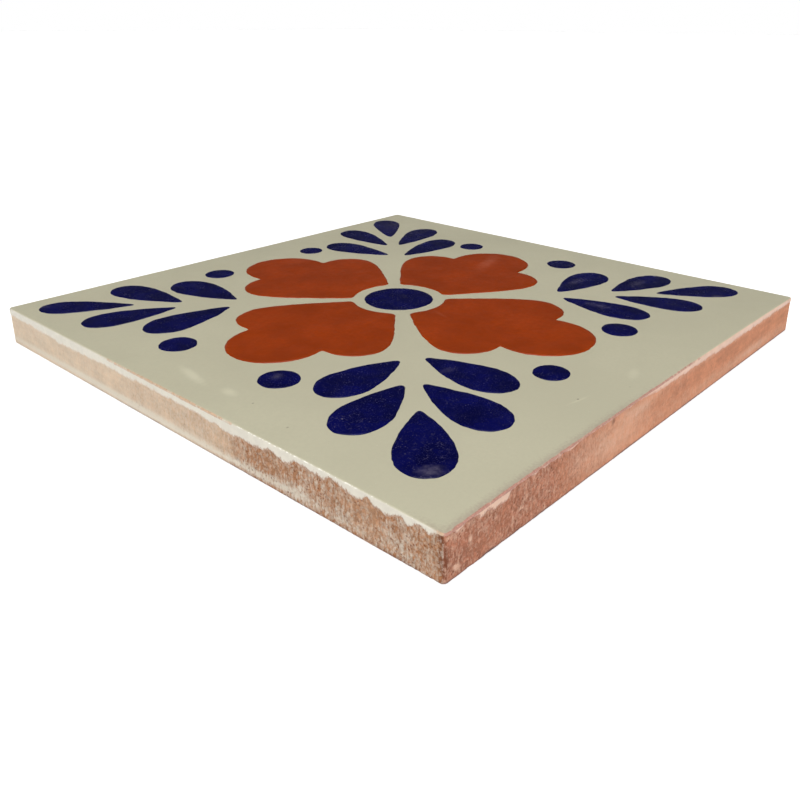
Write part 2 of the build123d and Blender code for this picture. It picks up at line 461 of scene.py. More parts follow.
def layered_noise(points, cell, layers, seed):
    """Sum of value noises, each of half the cell and half the height of the one before."""
    total = np.zeros(len(points))
    for layer in range(layers):
        total += value_noise(points, cell / 2**layer, seed + layer) / 2**layer
    return total


def lifted(spots, heights):
    """Points in the plane as points in space, at these heights."""
    heights = np.broadcast_to(heights, spots.shape[:-1])
    return np.concatenate([spots, heights[..., None]], axis=-1)


def face_height(spots, sizes):
    """Height of the glazed face over points in the plane.

    With u and v from -1 to 1 across and along the tile, the face tilts evenly with u and v and
    swells by swell (1 - u^2) (1 - v) / 2. At the near corner it drops by
    fall (1 - distance from the corner / reach)^2, and slow waves are added all over.
    """
    u, v = spots.T / tile_half
    level = tile_top - bpy.context.scene.tile_enamel.rise - sizes.face_sink
    height = level + sizes.tilt_x * u + sizes.tilt_y * v
    height = height + sizes.swell * np.maximum(1 - u * u, 0) * (1 - v) / 2
    distance = np.linalg.norm(spots + tile_half, axis=1)
    height = height - sizes.near_fall * np.maximum(1 - distance / sizes.fall_reach, 0) ** 2
    wave = layered_noise(lifted(spots, 0.0), 22 * MM, 2, 11)
    return height + sizes.face_wave * wave / 2


def square_path(half, radius, count):
    """Points, outward normals, edge numbers and distances along, evenly round a rounded square.

    The path is four like runs. Each is an eighth of a circle, a straight of length
    2 (half - radius) and another eighth, and the runs are the first one turned by a quarter turn
    each. Distances along count from the corner where the edges' straight lines would meet.
    """
    straight = 2 * (half - radius)
    eighth = math.pi / 4 * radius
    run_length = straight + 2 * eighth
    place = np.arange(count) / count * 4 * run_length
    edge = np.floor(place / run_length)
    along = place - edge * run_length - eighth
    turn = (np.minimum(along, 0) + np.maximum(along - straight, 0)) / radius
    x = np.clip(along, 0, straight) - straight / 2 + radius * np.sin(turn)
    y = -half + radius * (1 - np.cos(turn))
    quarter = edge * math.pi / 2
    cos, sin = np.cos(quarter), np.sin(quarter)
    points = np.stack([x * cos - y * sin, x * sin + y * cos], axis=1)
    across, down = np.sin(turn), -np.cos(turn)
    normals = np.stack([across * cos - down * sin, across * sin + down * cos], axis=1)
    return points, normals, edge.astype(int), along + radius


def edge_table(rows_of_edges, edge, along):
    """Value at each place round the tile, from each edge's own rows of distance and value in mm."""
    value = np.zeros(len(along))
    for number, rows in enumerate(rows_of_edges):
        here = edge == number
        places, values = zip(*rows)
        value[here] = np.interp(along[here] / MM, places, values)
    return value


def dabs(rows, edge, along, height):
    """Sum of soft oval patches: strength times exp(-(a/reach_along)^2 - (h/reach_height)^2)."""
    total = np.zeros(np.broadcast(edge, height).shape)
    for row in rows:
        a = (along / MM - row.along) / row.reach_along
        h = (height / MM - row.height) / row.reach_height
        total = total + np.where(edge == row.edge, row.strength * np.exp(-a * a - h * h), 0.0)
    return total


def grid_faces(rows, columns):
    """Quads between rows of points that each close into a ring, facing away from the first row's
    left side as the ring turns anticlockwise and the rows go down."""
    row, column = np.meshgrid(np.arange(rows - 1), np.arange(columns), indexing="ij")
    here = row * columns + column
    right = row * columns + (column + 1) % columns
    return np.stack([here, here + columns, right + columns, right], axis=-1).reshape(-1, 4)


def ring_shell(rings, top_pole, bottom_pole):
    """Closed shell: rings of points from a top pole down to a bottom pole, as points and faces."""
    rows, columns = rings.shape[:2]
    points = np.concatenate([rings.reshape(-1, 3), [top_pole], [bottom_pole]])
    first = np.arange(columns)
    following = (first + 1) % columns
    last = (rows - 1) * columns
    top = np.full(columns, rows * columns)
    top_fan = np.stack([top, first, following], axis=1)
    bottom_fan = np.stack([top + 1, last + following, last + first], axis=1)
    return points, [grid_faces(rows, columns), top_fan, bottom_fan]


def make_piece(name, points, face_groups, attributes, material):
    """Mesh object of the tile, smooth-shaded, with float attributes on its points."""
    mesh = bpy.data.meshes.new(name)
    counts = np.concatenate([np.full(len(group), group.shape[1]) for group in face_groups])
    corners = np.concatenate([group.ravel() for group in face_groups])
    mesh.vertices.add(len(points))
    mesh.vertices.foreach_set("co", np.asarray(points, dtype=np.float32).ravel())
    mesh.loops.add(len(corners))
    mesh.loops.foreach_set("vertex_index", corners.astype(np.int32))
    mesh.polygons.add(len(counts))
    starts = np.concatenate([[0], np.cumsum(counts)[:-1]])
    mesh.polygons.foreach_set("loop_start", starts.astype(np.int32))
    mesh.polygons.foreach_set("use_smooth", np.ones(len(counts), dtype=bool))
    mesh.update(calc_edges=True)
    mesh.validate()
    for key, values in attributes.items():
        layer = mesh.attributes.new(key, "FLOAT", "POINT")
        layer.data.foreach_set("value", np.asarray(values, dtype=np.float32))
    mesh.materials.append(material)
    piece = bpy.data.objects.new(name, mesh)
    bpy.context.scene.collection.objects.link(piece)
    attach(piece, BODY)
    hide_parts(NODE)
    return piece


# Materials


class Shader:
    """Node tree of a material or a world, with short calls for the nodes that it uses.

    A material's colour is laid on in coats, each by a share from 0 to 1 over those before it.
    """

    def __init__(self, owner):
        """Take on the tree of a new material or world."""
        owner.use_nodes = True
        self.owner = owner
        self.nodes = owner.node_tree.nodes
        self.links = owner.node_tree.links
        coordinates = self.nodes.new("ShaderNodeTexCoord").outputs
        self.position, self.direction = coordinates["Object"], coordinates["Generated"]
        self.base = (1.0, 1.0, 1.0)

    def plug(self, value, socket):
        """Link an output to a socket, or set the socket to a plain value."""
        if isinstance(value, bpy.types.NodeSocket):
            self.links.new(value, socket)
        elif isinstance(value, (int, float)):
            socket.default_value = value
        else:
            socket.default_value = (*value, 1.0)

    def stretched(self, x, y, z):
        """Object position scaled along each axis."""
        mapping = self.nodes.new("ShaderNodeMapping")
        self.links.new(self.position, mapping.inputs["Vector"])
        mapping.inputs["Scale"].default_value = (x, y, z)
        return mapping.outputs["Vector"]

    def noise(self, scale, detail=2.0, roughness=0.5, vector=None, distortion=0.0):
        """Noise from 0 to 1 at a number of waves per metre."""
        node = self.nodes.new("ShaderNodeTexNoise")
        self.links.new(vector or self.position, node.inputs["Vector"])
        node.inputs["Scale"].default_value = scale
        node.inputs["Detail"].default_value = detail
        node.inputs["Roughness"].default_value = roughness
        node.inputs["Distortion"].default_value = distortion
        return node.outputs["Fac"]

    def scatter(self, scale, vector=None):
        """Texture node of scattered points, at a number of points per metre."""
        node = self.nodes.new("ShaderNodeTexVoronoi")
        self.links.new(vector or self.position, node.inputs["Vector"])
        node.inputs["Scale"].default_value = scale
        return node

    def cells(self, scale):
        """Distance to the nearest of scattered points."""
        return self.scatter(scale).outputs["Distance"]

    def grains(self, scale, vector=None):
        """Random value from 0 to 1 for each of scattered grains."""
        split = self.nodes.new("ShaderNodeSeparateColor")
        self.links.new(self.scatter(scale, vector).outputs["Color"], split.inputs["Color"])
        return split.outputs["Red"]

    def cracks(self, scale, vector=None):
        """Distance to the nearest border between scattered cells."""
        node = self.scatter(scale, vector)
        node.feature = "DISTANCE_TO_EDGE"
        return node.outputs["Distance"]

    def marks(self, rows, ragged=0.5):
        """Highest of several soft oval marks on the face, with edges frayed by noise."""
        fray = self.times(self.noise(700.0, 3.0, 0.6), ragged)
        marks = []
        for row in rows:
            mapping = self.nodes.new("ShaderNodeMapping")
            mapping.vector_type = "TEXTURE"
            self.links.new(self.position, mapping.inputs["Vector"])
            mapping.inputs["Location"].default_value = (row.x * MM, row.y * MM, tile_top)
            mapping.inputs["Rotation"].default_value = (0.0, 0.0, math.radians(row.turn))
            mapping.inputs["Scale"].default_value = (row.along * MM, row.across * MM, 1.0)
            distance = self.nodes.new("ShaderNodeVectorMath")
            distance.operation = "LENGTH"
            self.links.new(mapping.outputs["Vector"], distance.inputs[0])
            frayed = self.sum(distance.outputs["Value"], fray)
            marks.append(self.ramp(frayed, 0.35, 1.15, row.strength, 0.0))
        return self.highest(*marks)

    def attribute(self, name):
        """A float attribute of the mesh."""
        node = self.nodes.new("ShaderNodeAttribute")
        node.attribute_name = name
        return node.outputs["Fac"]

    def ramp(self, value, low, high, to_low=0.0, to_high=1.0, smooth=True):
        """Map low..high to to_low..to_high, held at both ends."""
        node = self.nodes.new("ShaderNodeMapRange")
        node.interpolation_type = "SMOOTHSTEP" if smooth else "LINEAR"
        self.plug(value, node.inputs["Value"])
        names = ("From Min", "From Max", "To Min", "To Max")
        for name, bound in zip(names, (low, high, to_low, to_high)):
            node.inputs[name].default_value = bound
        return node.outputs["Result"]

    def times(self, *factors):
        """Product of values, each a socket or a number."""
        total = factors[0]
        for factor in factors[1:]:
            total = self.math("MULTIPLY", total, factor)
        return total

    def highest(self, *values):
        """Greatest of several values."""
        total = values[0]
        for value in values[1:]:
            total = self.math("MAXIMUM", total, value)
        return total

    def sum(self, *terms):
        """Sum of values, each a socket or a number, or a pair to multiply first."""
        values = [self.times(*term) if isinstance(term, tuple) else term for term in terms]
        total = values[0]
        for value in values[1:]:
            total = self.math("ADD", total, value)
        return total

    def math(self, operation, a, b):
        """Two values put through one arithmetic node."""
        node = self.nodes.new("ShaderNodeMath")
        node.operation = operation
        self.plug(a, node.inputs[0])
        self.plug(b, node.inputs[1])
        return node.outputs[0]

    def mix(self, share, a, b, blend="MIX"):
        """Blend of two colours."""
        node = self.nodes.new("ShaderNodeMix")
        node.data_type = "RGBA"
        node.blend_type = blend
        self.plug(share, node.inputs["Factor"])
        self.plug(a, node.inputs["A"])
        self.plug(b, node.inputs["B"])
        return node.outputs["Result"]

    def lay(self, share, coat):
        """Lay a coat of colour by a share from 0 to 1."""
        self.base = self.mix(share, self.base, coat)

    def tinted(self, colour, value):
        """A colour multiplied by a value."""
        grey = self.nodes.new("ShaderNodeCombineColor")
        for channel in grey.inputs:
            self.links.new(value, channel)
        return self.mix(1.0, colour, grey.outputs["Color"], "MULTIPLY")

    def ray(self, kind):
        """1 where the ray that looks is of this kind, else 0."""
        return self.nodes.new("ShaderNodeLightPath").outputs[f"Is {kind} Ray"]

    def finished(self, roughness, specular, normal=None):
        """The material, with its colour, its roughness and its share of mirroring plugged in."""
        surface = self.nodes["Principled BSDF"].inputs
        self.plug(self.base, surface["Base Color"])
        self.plug(roughness, surface["Roughness"])
        surface["Specular IOR Level"].default_value = specular
        if normal is not None:
            self.links.new(normal, surface["Normal"])
        return self.owner

    def bump(self, height, distance, strength=1.0, below=None):
        """Normal of a height map, whose full height is a distance in metres."""
        node = self.nodes.new("ShaderNodeBump")
        node.inputs["Distance"].default_value = distance
        node.inputs["Strength"].default_value = strength
        self.links.new(height, node.inputs["Height"])
        if below is not None:
            self.links.new(below, node.inputs["Normal"])
        return node.outputs["Normal"]


def shade(rgb, factor):
    """A colour made lighter or darker."""
    return tuple(min(1.0, channel * factor) for channel in rgb)


def glaze_material(colours):
    """Cream glaze: slow clouding, smudges and specks, greyed beside a bare rim.

    Where it ran down the edges it is white, with a painted highlight along the rim, and at its lower
    edge the clay shows through it in grains. On a bare rim it takes the clay's own colour.
    """
    s = Shader(bpy.data.materials.new("cream glaze"))
    clouds = s.ramp(s.noise(28.0, 3.0, 0.55), 0.3, 0.7)
    s.base = s.mix(clouds, shade(colours.cream, 0.965), shade(colours.cream, 1.03))
    grit = s.ramp(s.noise(1300.0, 2.0, 0.6), 0.35, 0.65)
    s.lay(s.times(grit, 0.35), shade(colours.cream, 0.94))
    s.lay(s.marks(PALE_SMUDGES), colours.smudge)
    speck = s.ramp(s.cells(210.0), 0.015, 0.04, 1.0, 0.0)
    rare = s.ramp(s.noise(60.0, 1.0), 0.60, 0.66)
    s.lay(s.highest(s.times(speck, rare, 0.5), s.marks(DARK_SPECKS)), SPECK_COLOUR)
    greyed = s.sum(s.attribute("greyed"), (s.noise(1900.0, 2.0, 0.6), 0.9), -0.45)
    s.lay(s.ramp(greyed, 0.25, 1.05, 0.0, 0.5), colours.greyed_face)
    redness = s.attribute("redness")
    blotch = s.ramp(s.noise(500.0, 3.0, 0.6), 0.3, 0.7, 0.94, 1.03)
    white = s.tinted(s.mix(redness, colours.slip, colours.warm_slip), blotch)
    s.lay(s.ramp(s.attribute("run"), 0.1, 0.9), white)
    # Painted highlight: a bright beaded line along the rim's arris
    rim_highlight = s.sum(s.attribute("rim_highlight"), (s.noise(1500.0, 2.0, 0.6), 1.8), -0.9)
    s.lay(s.ramp(rim_highlight, 0.40, 0.85), colours.rim_highlight)
    smooth_clay = s.mix(redness, colours.peach, colours.salmon)
    sandy_clay = s.mix(redness, colours.tan, colours.brick)
    clay = s.mix(s.attribute("sand"), smooth_clay, sandy_clay)
    upright = s.stretched(1.0, 1.0, 0.5)
    fade = s.sum(s.attribute("fade"), (s.noise(2000.0, 3.0, 0.7, upright), 2.2), -1.1)
    s.lay(s.ramp(fade, 0.35, 1.0, 0.0, 0.85), clay)
    thin = s.sum(s.attribute("thin"), (s.noise(600.0, 4.0, 0.7), 1.7), -0.85)
    sandy = s.ramp(s.noise(3000.0, 2.0, 0.75), 0.34, 0.66, 0.82, 1.18)
    bare = s.tinted(s.mix(redness, colours.bare_tan, colours.bare_mauve), sandy)
    s.lay(s.ramp(thin, 0.35, 0.80, 0.0, 0.9), bare)
    pits = s.ramp(s.cells(420.0), 0.03, 0.10)
    soft = s.bump(s.noise(260.0, 2.0, 0.5), 0.00008, 0.5)
    gloss = s.ramp(s.noise(160.0, 3.0), 0.3, 0.7, 0.30, 0.40)
    return s.finished(gloss, 0.3, s.bump(pits, 0.00003, 0.5, soft))


def cobalt_material(colours):
    """Cobalt enamel: brushed light and dark, with tiny pale pinholes, pale patches in a few listed
    spots, of which those on the near drop's head and on the right spray are painted reflections,
    and finely scratched in a few more."""
    s = Shader(bpy.data.materials.new("cobalt enamel"))
    clouds = s.ramp(s.noise(170.0, 3.0, 0.6), 0.3, 0.75)
    s.base = s.mix(clouds, shade(colours.cobalt, 0.75), shade(colours.cobalt, 1.5))
    pinhole = s.ramp(s.cells(1600.0), 0.10, 0.26, 1.0, 0.0)
    worn = s.ramp(s.noise(330.0, 3.0, 0.6), 0.44, 0.62)
    dust = s.ramp(s.cells(2600.0), 0.12, 0.30, 1.0, 0.0)
    patchy = s.ramp(s.noise(500.0, 4.0, 0.7), 0.2, 0.7, 0.5, 1.0)
    lines = s.ramp(s.cracks(1300.0, s.stretched(1.0, 0.6, 1.0)), 0.01, 0.045, 1.0, 0.0)
    broken = s.ramp(s.noise(900.0, 3.0, 0.6), 0.52, 0.62)
    s.lay(s.times(pinhole, worn, 0.6), colours.haze)
    s.lay(s.times(dust, 0.2), colours.haze)
    # Pale patches, partly hazy and partly painted reflections on the near drop's head and the right
    # spray
    s.lay(s.times(s.marks(COBALT_HAZE_AND_REFLECTIONS, 0.9), patchy), colours.haze)
    s.lay(s.times(lines, broken, s.marks(COBALT_SCRATCHES)), colours.haze)
    soft = s.bump(s.noise(420.0, 2.0), 0.00005, 0.5)
    gloss = s.ramp(s.noise(300.0, 3.0), 0.3, 0.7, 0.18, 0.28)
    return s.finished(gloss, 0.2, s.bump(pinhole, 0.00002, 0.4, soft))


def cobalt_enamel(colours):
    """The cobalt enamel, made once and shared by the flower's eye and the sprays."""
    return bpy.data.materials.get("cobalt enamel") or cobalt_material(colours)


def rust_material(colours):
    """Rust enamel: cloudy where the brush laid it thicker, finely mottled, and pale pink in a few
    listed spots, of which the broad one on the right petal is a painted reflection of a lamp."""
    s = Shader(bpy.data.materials.new("rust enamel"))
    clouds = s.ramp(s.noise(85.0, 4.0, 0.6), 0.28, 0.74)
    s.base = s.mix(clouds, shade(colours.rust, 0.86), shade(colours.rust, 1.18))
    mottle = s.ramp(s.noise(900.0, 3.0, 0.65), 0.32, 0.68)
    s.lay(s.times(mottle, 0.5), shade(colours.rust, 0.82))
    pale = s.ramp(s.cells(700.0), 0.05, 0.16, 1.0, 0.0)
    some = s.ramp(s.noise(240.0, 2.0), 0.52, 0.64, 0.0, 0.25)
    s.lay(s.times(pale, some), colours.rust_haze)
    patchy = s.ramp(s.noise(400.0, 4.0, 0.7), 0.2, 0.7, 0.35, 1.0)
    # Pale patches, one of them the painted reflection on the right petal
    s.lay(s.times(s.marks(RUST_HAZE_AND_REFLECTION, 0.9), patchy), colours.rust_haze)
    gloss = s.ramp(s.noise(240.0, 3.0), 0.3, 0.7, 0.28, 0.40)
    return s.finished(gloss, 0.25, s.bump(s.noise(380.0, 3.0), 0.00005, 0.5))


def clay_material(colours):
    """Bare clay: sandy and dark to smooth and pale, tan to red, with white slip wiped down it.

    Sandy clay is made of grains, each a little lighter or darker, with dark pores between. Slip
    covers where its attribute, upright streaks and the grains together pass a threshold, so its
    edges break up into grains.
    """
    s = Shader(bpy.data.materials.new("bare clay"))
    sand, redness = s.attribute("sand"), s.attribute("redness")
    paler = s.mix(sand, colours.peach, colours.tan)
    redder = s.mix(sand, colours.salmon, colours.brick)
    slow = s.ramp(s.noise(300.0, 3.0, 0.6), 0.30, 0.70, 0.94, 1.07)
    wiped = s.noise(1.0, 3.0, 0.6, s.stretched(110.0, 110.0, 900.0))
    clouded = s.tinted(s.mix(redness, paler, redder), slow)
    s.base = s.tinted(clouded, s.ramp(wiped, 0.3, 0.7, 0.94, 1.06))
    upright = s.stretched(1.0, 1.0, 0.75)
    lightness = s.ramp(s.grains(1900.0, upright), 0.0, 1.0, 0.82, 1.18, False)
    dusty = s.ramp(s.noise(2800.0, 2.0, 0.7), 0.30, 0.70, 0.91, 1.09)
    s.lay(s.ramp(sand, 0.0, 1.0, 0.18, 1.0), s.tinted(s.base, s.times(lightness, dusty)))
    stain = s.sum(s.attribute("stain"), (s.noise(800.0, 4.0, 0.65), 0.9), -0.45)
    s.lay(s.ramp(stain, 0.2, 0.9, 0.0, 0.8), colours.scorch)
    streaks = s.noise(1.0, 3.0, 0.65, s.stretched(1700.0, 1700.0, 480.0))
    flecks = s.noise(2600.0, 2.0, 0.75, upright)
    spread = s.ramp(sand, 0.0, 1.0, 0.35, 1.0, False)
    grainy = s.sum((streaks, 1.3), (flecks, 1.1), (s.grains(2300.0, upright), 0.4), -1.4)
    cover = s.sum(s.attribute("slip"), (grainy, spread))
    white = s.mix(redness, colours.slip, colours.warm_slip)
    s.lay(s.ramp(cover, -0.15, 0.75, 0.0, 0.80, False), white)
    pore = s.ramp(s.cells(1150.0), 0.12, 0.32, 1.0, 0.0)
    opened = s.ramp(s.noise(420.0, 2.0), 0.42, 0.58)
    s.lay(s.times(pore, opened, sand, 0.65), colours.scorch)
    # Painted shadow along the lower edges
    s.lay(s.ramp(s.attribute("bottom_shadow"), 0.1, 0.8, 0.0, 0.85), colours.bottom_shadow)
    lumpy = s.bump(s.noise(700.0, 3.0), 0.0001, 0.4)
    return s.finished(0.92, 0.2, s.bump(s.noise(2200.0, 2.0, 0.7), 0.00006, 0.5, lumpy))


# Clay body and glaze


class MakeClayBody(bpy.types.Operator):
    """Make the bare clay body under the glaze"""

    bl_idname = "tile.make_clay_body"
    bl_label = "Clay body"

    def execute(self, context):
        """Rings run from under the glaze down the edges, round the back arris and to the middle
        of the back. Grain, pores and chips push the edges' points in along their normals."""
        sizes = context.scene.tile_blank
        columns = CLAY_COLUMNS
        half = tile_half - sizes.glaze_coat
        path, normals, edge, along = square_path(half, sizes.corner_radius, columns)
        top = face_height(path, sizes) - 0.3 * MM
        arris = sizes.back_arris
        heights = [top, top]
        insets = [np.full(columns, 1.4 * MM), np.full(columns, 0.5 * MM)]
        for share in np.linspace(0, 1, 36):
            heights.append(top + (arris - top) * share)
            insets.append(np.zeros(columns))
        for turn in np.linspace(0, math.pi / 2, 5)[1:]:
            heights.append(np.full(columns, arris * (1 - math.sin(turn))))
            insets.append(np.full(columns, arris * (1 - math.cos(turn))))
        height = np.array(heights)
        place = path[None] - normals[None] * np.array(insets)[..., None]
        rows = len(height)
        shape = (rows, columns)
        cloud = lifted(place, height).reshape(-1, 3)
        edges = np.broadcast_to(edge, shape)
        alongs = np.broadcast_to(along, shape)
        sand = edge_table(SANDINESS, edge, along)
        grain = layered_noise(cloud, 0.9 * MM, 2, 21).reshape(shape) * sizes.grain
        lumps = value_noise(cloud, 6.0 * MM, 41).reshape(shape) * 0.03 * MM
        open_pores = value_noise(cloud, 0.75 * MM, 51).reshape(shape)
        pore = np.clip((open_pores - 0.5) / 0.3, 0, 1) * sizes.pore_depth * sand
        low = np.clip(1 - height / (1.1 * MM), 0, 1)
        chip = dabs(CHIPS, edges, alongs, height) * MM
        calm = 0.25 + 0.75 * np.clip(height / (0.6 * MM), 0, 1)
        push = (grain * (0.35 + 0.65 * sand) + lumps - pore) * calm - chip
        fade = np.clip((top - height) / (0.8 * MM), 0, 1)
        push = np.minimum(push, 0.06 * MM) * fade
        place = place + normals[None] * push[..., None]
        height = height + np.clip(-push - 0.1 * MM, 0, None) * low * 0.8
        rings = lifted(place, height)
        back = []
        for share in (0.985, 0.95, 0.88, 0.76, 0.6, 0.4, 0.2, 0.08):
            spot = place[-1] * share
            dimple = layered_noise(lifted(spot, 0.0), 5 * MM, 3, 71)
            back.append(lifted(spot, np.clip(dimple - 0.2, 0, 1) * 0.12 * MM))
        rings = np.concatenate([rings, np.array(back)])
        points, faces = ring_shell(rings, (0, 0, tile_top - 0.7 * MM), (0, 0, 0.02 * MM))
        attributes = self.attributes(rings, edge, along, rows)
        material = clay_material(context.scene.tile_colours)
        make_piece("clay_body", points, faces, attributes, material)
        return {"FINISHED"}

    def attributes(self, rings, edge, along, side_rows):
        """Sandiness, redness, slip, stain and painted bottom shadow of each point, with plain values on
        the back.
        """
        shape = rings.shape[:2]
        z = rings[..., 2]
        edges = np.broadcast_to(edge, shape)
        alongs = np.broadcast_to(along, shape)
        cloud = rings.reshape(-1, 3)
        patch = layered_noise(cloud, 6 * MM, 3, 81).reshape(shape)
        upright = value_noise(cloud * [1, 1, 0.25], 1.1 * MM, 86).reshape(shape)
        sand = edge_table(SANDINESS, edge, along) + 0.15 * patch
        redness = np.array([1.0, 0.6, 0.4, 0.0])[edges]
        uneven = (0.12 * patch + 0.07 * upright) * (0.4 + 0.6 * sand)
        slip = dabs(SLIP_DABS, edges, alongs, z) + uneven + np.where(edges == 3, 0.01 * sand, -0.04)
        stain = dabs(STAINS, edges, alongs, z)
        # Painted shadow along the lower edges
        bottom_shadow = dabs(BOTTOM_SHADOWS, edges, alongs, z) * (0.9 + 0.2 * patch)
        on_back = np.arange(shape[0])[:, None] >= side_rows
        sides = {"sand": sand, "redness": redness, "slip": slip, "stain": stain, "bottom_shadow": bottom_shadow}
        plain = {"sand": 0.6, "redness": 0.45, "slip": 0.1, "stain": 0.0, "bottom_shadow": 0.0}
        attributes = {}
        for key, value in sides.items():
            placed = np.clip(np.where(on_back, plain[key], value), -1, 1)
            attributes[key] = np.concatenate([placed.ravel(), [plain[key]] * 2])
        return attributes


class MakeGlaze(bpy.types.Operator):
    """Make the cream glaze over the face and down the edges"""

    bl_idname = "tile.make_glaze"
    bl_label = "Glaze"

    def execute(self, context):
        """Rings run from the middle of the face to its rim, round a quarter circle and down the
        edges, then back inside the clay to a plain underside. Down the edges the glaze thins out
        at a ragged depth, below which it lies under the clay."""
        sizes = context.scene.tile_blank
        columns = GLAZE_COLUMNS
        path, normals, edge, along = square_path(tile_half, sizes.corner_radius, columns)
        arris = sizes.face_arris
        rim = path - normals * arris
        bare = edge_table(BARE_RIMS, edge, along)
        redness = np.array([1.0, 0.5, 0.3, 0.0])[edge]
        rings, runs, thins, greys, highlights, fades = [], [], [], [], [], []

        def add_ring(spot, z, run, thin, grey, rim_highlight=0.0, fade=0.0):
            """One more ring of points with the values of its attributes."""
            rings.append(lifted(spot, z))
            groups = ((runs, run), (thins, thin), (greys, grey), (highlights, rim_highlight), (fades, fade))
            for values, value in groups:
                values.append(np.broadcast_to(value, (columns,)))

        greyed_rim = edge_table(GREYED_RIMS, edge, along)
        wide_steps = np.linspace(0.03, 0.93, 11)
        for share in (*wide_steps, 0.96, 0.972, 0.98, 0.987, 0.992, 0.996, 1.0):
            spot = rim * share
            grey = greyed_rim * np.clip((share - 0.966) / 0.034, 0, 1)
            thin = bare * (0.3 if share == 1.0 else 0.0)
            add_ring(spot, face_height(spot, sizes), 0.0, thin, grey)
        rim_height = rings[-1][:, 2]
        # Painted highlight on the arris rings, strongest halfway round the arris
        rim_highlight = edge_table(RIM_HIGHLIGHTS, edge, along)
        for turn in np.linspace(0, math.pi / 2, 6)[1:]:
            spot = rim + normals * arris * math.sin(turn)
            z = rim_height - arris * (1 - math.cos(turn))
            run = np.clip((turn - 0.3) / 0.9, 0, 1)
            painted_highlight = rim_highlight * math.sin(2 * turn) ** 3
            add_ring(spot, z, run, bare * (1.0 if turn > 0.5 else 0.7), greyed_rim, painted_highlight)
        depths = arris + (sizes.skirt_depth - arris) * np.linspace(0, 1, 27)[1:]
        run_down = edge_table(GLAZE_RUNS, edge, along) * MM
        flat = lifted(path, 0.0)
        humps = value_noise(flat, 1.5 * MM, 101)
        ragged = 0.5 * MM * (humps - 0.2 * humps**2) + 0.25 * MM * value_noise(flat, 5 * MM, 121)
        sand = edge_table(SANDINESS, edge, along)
        edge_depth = run_down + ragged * (0.35 + 0.65 * sand)
        for depth in depths:
            z = rim_height - depth
            fray = layered_noise(lifted(path, z), 0.8 * MM, 2, 131) * 0.16 * MM
            cover = (edge_depth + fray - depth) / (0.35 * MM)
            coat = sizes.glaze_coat * np.clip(cover, -4, 1)
            spot = path - normals * (sizes.glaze_coat - coat)[:, None]
            bared = bare * np.clip(1 - (depth - arris) / (0.3 * MM), 0, 1)
            fade = np.clip(1 - (edge_depth + fray - depth) / (1.0 * MM), 0, 1)
            add_ring(spot, z, 1.0, bared, greyed_rim * bared, 0.0, fade)
        for inset, depth in ((1.0 * MM, sizes.skirt_depth), (1.0 * MM, 0.6 * MM)):
            add_ring(path - normals * inset, rim_height - depth, 1.0, 0.0, 0.0)
        under = rim * 0.9
        add_ring(under, face_height(under, sizes) - 0.5 * MM, 0.0, 0.0, 0.0)
        centre = float(face_height(np.zeros((1, 2)), sizes)[0])
        points, faces = ring_shell(np.array(rings), (0, 0, centre), (0, 0, centre - 0.5 * MM))
        rows = len(rings)
        values = {
            "run": runs,
            "thin": thins,
            "greyed": greys,
            "rim_highlight": highlights,
            "fade": fades,
            "sand": [sand] * rows,
            "redness": [redness] * rows,
        }
        attributes = {key: np.append(np.ravel(value), [0, 0]) for key, value in values.items()}
        material = glaze_material(context.scene.tile_colours)
        make_piece("glaze", points, faces, attributes, material)
        return {"FINISHED"}


# Enamel


def arc(centre, radius, start, end, count):
    """Points on a circle between two angles in radians, without the last."""
    turn = np.linspace(start, end, count, endpoint=False)
    return np.asarray(centre) + radius * np.stack([np.cos(turn), np.sin(turn)], axis=1)


def turned(points, turn):
    """Points turned about the origin by an angle in radians."""
    cos, sin = math.cos(turn), math.sin(turn)
    return points @ np.array([[cos, sin], [-sin, cos]])


def arc_through(start, middle, end, count):
    """Points on the circle through three points, from the first to the last, without the last."""
    start, middle, end = (np.asarray(p, dtype=float) for p in (start, middle, end))
    system = 2 * np.array([middle - start, end - start])
    centre = np.linalg.solve(system, [middle @ middle - start @ start, end @ end - start @ start])
    first, second, third = (math.atan2(*(p - centre)[::-1]) for p in (start, middle, end))
    half_turn = (second - first + math.pi) % (2 * math.pi) - math.pi
    other_half = (third - second + math.pi) % (2 * math.pi) - math.pi
    return arc(centre, np.linalg.norm(start - centre), first, first + half_turn + other_half, count)


def petal_side(sizes, out):
    """Left side of a petal from its cusp round the shoulder and down the flank to its base.

    The shoulder is an arc that is level where the petal is widest and ends in the cusp, and the
    flank is a cubic curve from there to the base's corner. Cusp and shoulder are set further out
    by the given distance.
    """
    cusp = np.array([sizes.cusp_out + out, sizes.cusp_across])
    widest = np.array([sizes.shoulder_out + out, sizes.shoulder_across])
    radius = ((cusp - widest) @ (cusp - widest)) / (2 * (widest[1] - cusp[1]))
    centre = widest - [0, radius]
    start = math.atan2(*(cusp - centre)[::-1])
    half_angle = sizes.base_half_angle
    corner = sizes.base_radius * np.array([math.cos(half_angle), math.sin(half_angle)])
    handle = sizes.flank_fullness * np.linalg.norm(widest - corner)
    away = handle * np.array([math.cos(sizes.flank_angle), math.sin(sizes.flank_angle)])
    t = np.linspace(0, 1, 60, endpoint=False)[:, None]
    flank = (
        (1 - t) ** 3 * widest
        + 3 * (1 - t) ** 2 * t * (widest - [handle, 0])
        + 3 * (1 - t) * t**2 * (corner + away)
        + t**3 * corner
    )
    base = arc((0, 0), sizes.base_radius, half_angle, 0, 30)
    return np.concatenate([arc(centre, radius, start, math.pi / 2, 40), flank, base])


